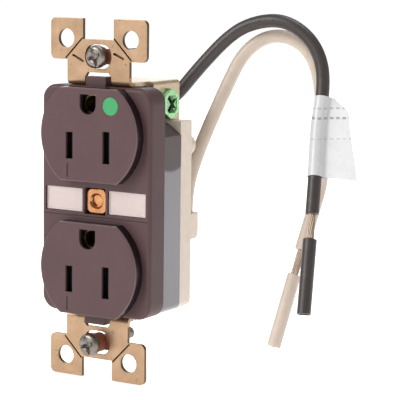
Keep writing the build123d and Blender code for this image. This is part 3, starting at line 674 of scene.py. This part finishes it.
def add_thread(shape, root, crest, pitch, turns, place):
    """A screw thread up the Z axis with its ends closed, then put in its place."""
    before = set(shape.verts)
    verts, edges = add_profile(shape, [
        (root, 0.0),
        (crest, 0.36 * pitch),
        (crest, 0.48 * pitch),
        (root, 0.84 * pitch),
        (root, pitch),
    ])
    bmesh.ops.spin(
        shape, geom=verts + edges, cent=(0, 0, 0), axis=(0, 0, 1),
        dvec=(0, 0, pitch * MM / THREAD_STEPS), angle=math.tau * turns, steps=THREAD_STEPS * turns,
    )
    made = [vert for vert in shape.verts if vert not in before]
    bmesh.ops.remove_doubles(shape, verts=made, dist=0.002 * MM)
    close_holes(shape)
    made = [vert for vert in shape.verts if vert not in before]
    bmesh.ops.transform(shape, matrix=place, verts=made)


def lead_curve(name, route, radius):
    """The lead's own spline, a round tube where it has a radius."""
    curve = bpy.data.curves.new(name, "CURVE")
    curve.dimensions = "3D"
    spline = curve.splines.new("NURBS")
    spline.points.add(len(route) - 1)
    for point, spot in zip(spline.points, route):
        point.co = (*spot, 1.0)
    spline.order_u = 3
    spline.use_endpoint_u = True
    spline.resolution_u = 16
    curve.bevel_depth = radius
    curve.bevel_resolution = 8
    curve.use_fill_caps = True
    return curve


def spline_stations(route):
    """Points along the lead's spline, read from the curve itself."""
    bare = bpy.data.objects.new("lead_line", lead_curve("lead_line", route, 0.0))
    bpy.context.scene.collection.objects.link(bare)
    line = bpy.data.meshes.new_from_object(bare)
    points = [vert.co.copy() for vert in line.vertices]
    bpy.data.objects.remove(bare)
    bpy.data.meshes.remove(line)
    return points


def add_strands(colour, origin, way):
    """A bundle of nineteen wires laid in two twisted rings round a middle one."""
    shape = bmesh.new()
    reach = STRIP_GAP / MM + SLUG_LENGTH - STRAND_INSET
    for wires, ring in STRAND_RINGS:
        for number in range(wires):
            turn = Matrix.Rotation(math.tau * number / wires, 4, "Z")
            start = turn @ Matrix.Translation((ring * MM, 0, STRAND_START * MM))
            wire = bmesh.ops.create_circle(shape, radius=STRAND_R * MM, segments=10, matrix=start)["verts"]
            rim = list({edge for vert in wire for edge in vert.link_edges})
            bmesh.ops.spin(
                shape, geom=wire + rim, cent=(0, 0, 0), axis=(0, 0, 1),
                dvec=(0, 0, reach * MM / STRAND_STEPS), angle=STRAND_LAY, steps=STRAND_STEPS,
            )
    close_holes(shape)
    bmesh.ops.transform(shape, matrix=along(origin, way), verts=shape.verts)
    name = f"{colour}_strand_bundle"
    piece = add_piece(name, settle(shape, name, 50.0), f"{colour}_strands", "receptacle")
    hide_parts(f"{colour}_strands")
    return piece


def add_slug(colour, origin, way):
    """The cut length of insulation near the end, its cuts a little uneven."""
    shape = bmesh.new()
    verts, edges = add_profile(shape, [
        (SLUG_BORE_R, 0.0),
        (SLUG_R - SLUG_EASE, 0.0),
        (SLUG_R, SLUG_EASE),
        (SLUG_R, SLUG_LENGTH / 2),
        (SLUG_R, SLUG_LENGTH - SLUG_EASE),
        (SLUG_R - SLUG_EASE, SLUG_LENGTH),
        (SLUG_BORE_R, SLUG_LENGTH),
        (SLUG_BORE_R, 0.0),
    ])
    bmesh.ops.spin(
        shape, geom=verts + edges, cent=(0, 0, 0), axis=(0, 0, 1),
        angle=math.tau, steps=48, use_merge=True,
    )
    bmesh.ops.remove_doubles(shape, verts=shape.verts, dist=0.002 * MM)
    for vert in shape.verts:
        around = math.atan2(vert.co.y, vert.co.x)
        low_end = vert.co.z < SLUG_LENGTH / 4 * MM
        sway = math.sin(2 * around + 0.6) if low_end else math.sin(3 * around)
        inward = 1.0 if low_end else -1.0
        if abs(vert.co.z - SLUG_LENGTH / 2 * MM) > SLUG_LENGTH / 4 * MM:
            vert.co.z += inward * (SLUG_CUT_BACK + SLUG_CUT_SWAY * sway) * MM
    bmesh.ops.transform(shape, matrix=along(origin + way * STRIP_GAP, way), verts=shape.verts)
    name = f"{colour}_cut_slug"
    node = f"{colour}_slug"
    piece = add_piece(name, settle(shape, name), node, node)
    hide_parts(node)
    return piece


def flag_sheet(reach, rise, side):
    """One sheet of the flag, from the lead outwards, on side 1 or side -1."""
    corners = []
    for step in range(FLAG_STEPS):
        out = step / (FLAG_STEPS - 1)
        gap = FLAG_GAP + FLAG_SPREAD * (1.0 - out) ** 6
        curl = FLAG_CURL * out ** 2 * (1.0 - 0.5 * rise)
        corners.append((FLAG_ROOT + (reach - FLAG_ROOT) * out, side * gap + curl))
    return corners


def tag_section(rise):
    """The film's outline at a share of the sleeve's height: in along the flag, round the lead and out."""
    reach = FLAG_FOOT_REACH - FLAG_TAPER * rise
    if rise >= FLAG_SHOULDER:
        reach += (FLAG_TOP_REACH - reach) * (rise - FLAG_SHOULDER) / (1.0 - FLAG_SHOULDER)
    wrap = []
    for step in range(TAG_WRAP_STEPS + 1):
        around = math.radians(20.0 + 320.0 * step / TAG_WRAP_STEPS)
        wrap.append((TAG_R * math.cos(around), TAG_R * math.sin(around)))
    return flag_sheet(reach, rise, 1)[::-1] + wrap + flag_sheet(reach, rise, -1)


def add_tag():
    """A film tag: one strip wound round the black lead, its two ends stuck together as a flag."""
    line = spline_stations(BLACK_ROUTE)
    nearest = min(range(len(line)), key=lambda index: (line[index] - TAG_FROM).length)
    travelled = [0.0]
    for before, here in zip(line, line[1:]):
        travelled.append(travelled[-1] + (here - before).length)
    middle = travelled[nearest]
    stations = [
        (middle + TAG_LOWER_REACH - gone, spot, (line[index - 1] - line[index + 1]).normalized())
        for index, (spot, gone) in enumerate(zip(line, travelled))
        if middle - TAG_UPPER_REACH < gone < middle + TAG_LOWER_REACH
    ]
    stations.reverse()
    length = stations[-1][0]
    shape = bmesh.new()
    edges = []
    for height, spot, rise_way in stations:
        out_way = (FLAG_WAY - rise_way * FLAG_WAY.dot(rise_way)).normalized()
        side_way = rise_way.cross(out_way)
        outline = tag_section(height / length)
        section = [spot + (out_way * out + side_way * side) * MM for out, side in outline]
        if not edges:
            verts = [shape.verts.new(corner) for corner in section]
            edges = [shape.edges.new(pair) for pair in zip(verts, verts[1:])]
        else:
            grown = bmesh.ops.extrude_edge_only(shape, edges=edges)["geom"]
            verts = [part for part in grown if isinstance(part, bmesh.types.BMVert)]
            edges = [part for part in grown if isinstance(part, bmesh.types.BMEdge)]
            for vert, corner in zip(verts, section):
                vert.co = corner
    bmesh.ops.recalc_face_normals(shape, faces=shape.faces)
    bmesh.ops.solidify(shape, geom=shape.faces[:], thickness=TAG_THICKNESS * MM)
    film = settle(shape, "wire_tag_film", 50.0)
    # Marks the sleeve round the lead, which is painted greyer as shade.
    sleeve_painted_shade = film.attributes.new("sleeve_painted_shade", "FLOAT", "POINT")
    for vert, mark in zip(film.vertices, sleeve_painted_shade.data):
        away = min((vert.co - spot).length for height, spot, rise_way in stations)
        mark.value = min(1.0, max(0.0, (3.2 - away / MM) / 0.7))
    piece = add_piece("wire_tag_film", film, "wire_tag", "receptacle")
    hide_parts("wire_tag")
    return piece


def add_lead(colour, route):
    """One lead with its bare strands and the slug left near its end."""
    name = f"{colour}_lead_jacket"
    lead = add_piece(name, lead_curve(name, route, LEAD_R), f"{colour}_lead", "receptacle")
    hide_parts(f"{colour}_lead")
    end = Vector(route[-1])
    way = (end - Vector(route[-2])).normalized()
    strands = add_strands(colour, end, way)
    slug = add_slug(colour, end, way)


def cad_copy(node):
    """The triangles of a CAD node as a merged bmesh, in the shared frame."""
    shape = bmesh.new()
    source = frame["nodes"][node]
    shape.from_mesh(source.data)
    bmesh.ops.transform(shape, matrix=source.matrix_world, verts=shape.verts)
    bmesh.ops.remove_doubles(shape, verts=shape.verts, dist=0.001 * MM)
    return shape


def add_screw(node, body, name, cut_at, cut_way, shank_from, root, crest, turns):
    """A screw with its head kept from the CAD solid and its plain shank turned into a threaded one."""
    shape = cad_copy(node)
    bmesh.ops.bisect_plane(
        shape, geom=shape.verts[:] + shape.edges[:] + shape.faces[:], dist=0.0001 * MM,
        plane_co=cut_at, plane_no=cut_way, clear_outer=True,
    )
    close_holes(shape)
    add_thread(shape, root, crest, THREAD_PITCH, turns, along(Vector(shank_from), cut_way))
    piece = add_piece(name, settle(shape, name, 28.0), node, body)
    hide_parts(node)


def add_post_thread():
    """The thread in the centre post's hole, seen past its countersunk mouth."""
    shape = bmesh.new()
    place = along(Vector((0, POST_THREAD_Y * MM, 0)), (0, 1, 0))
    add_thread(shape, POST_ROOT_R, POST_CREST_R, THREAD_PITCH, POST_TURNS, place)
    add_piece("post_hole_thread", settle(shape, "post_hole_thread", 28.0), "centre_post", "receptacle")


def add_spring(end):
    """A shutter's return spring along X, wound evenly across its CAD node's length."""
    node = f"{end}_shutter_spring"
    low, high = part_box(node)
    middle_y = (low[1] + high[1]) / 2
    middle_z = (low[2] + high[2]) / 2
    steps = 18 * SPRING_TURNS
    shape = bmesh.new()
    start = Matrix.Translation((SPRING_R * MM, 0, 0)) @ Matrix.Rotation(math.radians(90.0), 4, "X")
    wire = bmesh.ops.create_circle(shape, radius=SPRING_WIRE_R * MM, segments=8, matrix=start)["verts"]
    rim = list({edge for vert in wire for edge in vert.link_edges})
    reach = high[0] - low[0] - 2 * SPRING_WIRE_R * MM
    bmesh.ops.spin(
        shape, geom=wire + rim, cent=(0, 0, 0), axis=(0, 0, 1),
        dvec=(0, 0, reach / steps), angle=math.tau * SPRING_TURNS, steps=steps,
    )
    close_holes(shape)
    seat = Vector((low[0] + SPRING_WIRE_R * MM, middle_y, middle_z))
    bmesh.ops.transform(shape, matrix=along(seat, (1, 0, 0)), verts=shape.verts)
    name = f"{end}_return_spring"
    piece = add_piece(name, settle(shape, name, 60.0), node, "receptacle")
    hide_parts(node)
    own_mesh(piece)


def finish_cad_nodes():
    """Every CAD node takes the finish of its own slot."""
    for node, piece in frame["nodes"].items():
        if not piece.data.materials:
            piece.data.materials.append(FINISHES[SLOT_OF[node]])
        for index in range(len(piece.material_slots)):
            piece.material_slots[index].material = FINISHES[SLOT_OF[node]]


add_camera()
add_studio()
finish_cad_nodes()
tag = add_tag()
add_lead("black", BLACK_ROUTE)
add_lead("white", WHITE_ROUTE)
for end in ("upper", "lower"):
    low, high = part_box(f"{end}_mounting_screw")
    axis_z = (low[2] + high[2]) / 2
    add_spring(end)
    add_screw(
        f"{end}_mounting_screw", f"{end}_screw", f"{end}_box_screw",
        (0.0, BOX_SCREW_CUT_Y * MM, axis_z), (0, 1, 0), (0.0, BOX_SCREW_THREAD_Y * MM, axis_z),
        BOX_SCREW_ROOT_R, BOX_SCREW_CREST_R, int((high[1] / MM - BOX_SCREW_TIP) / THREAD_PITCH),
    )
add_screw(
    "ground_screw", "ground_screw", "green_ground_screw",
    (GROUND_CUT_X * MM, GROUND_SCREW_Y * MM, GROUND_SCREW_Z * MM), (-1, 0, 0),
    (GROUND_THREAD_X * MM, GROUND_SCREW_Y * MM, GROUND_SCREW_Z * MM),
    GROUND_ROOT_R, GROUND_CREST_R, GROUND_TURNS,
)
add_post_thread()
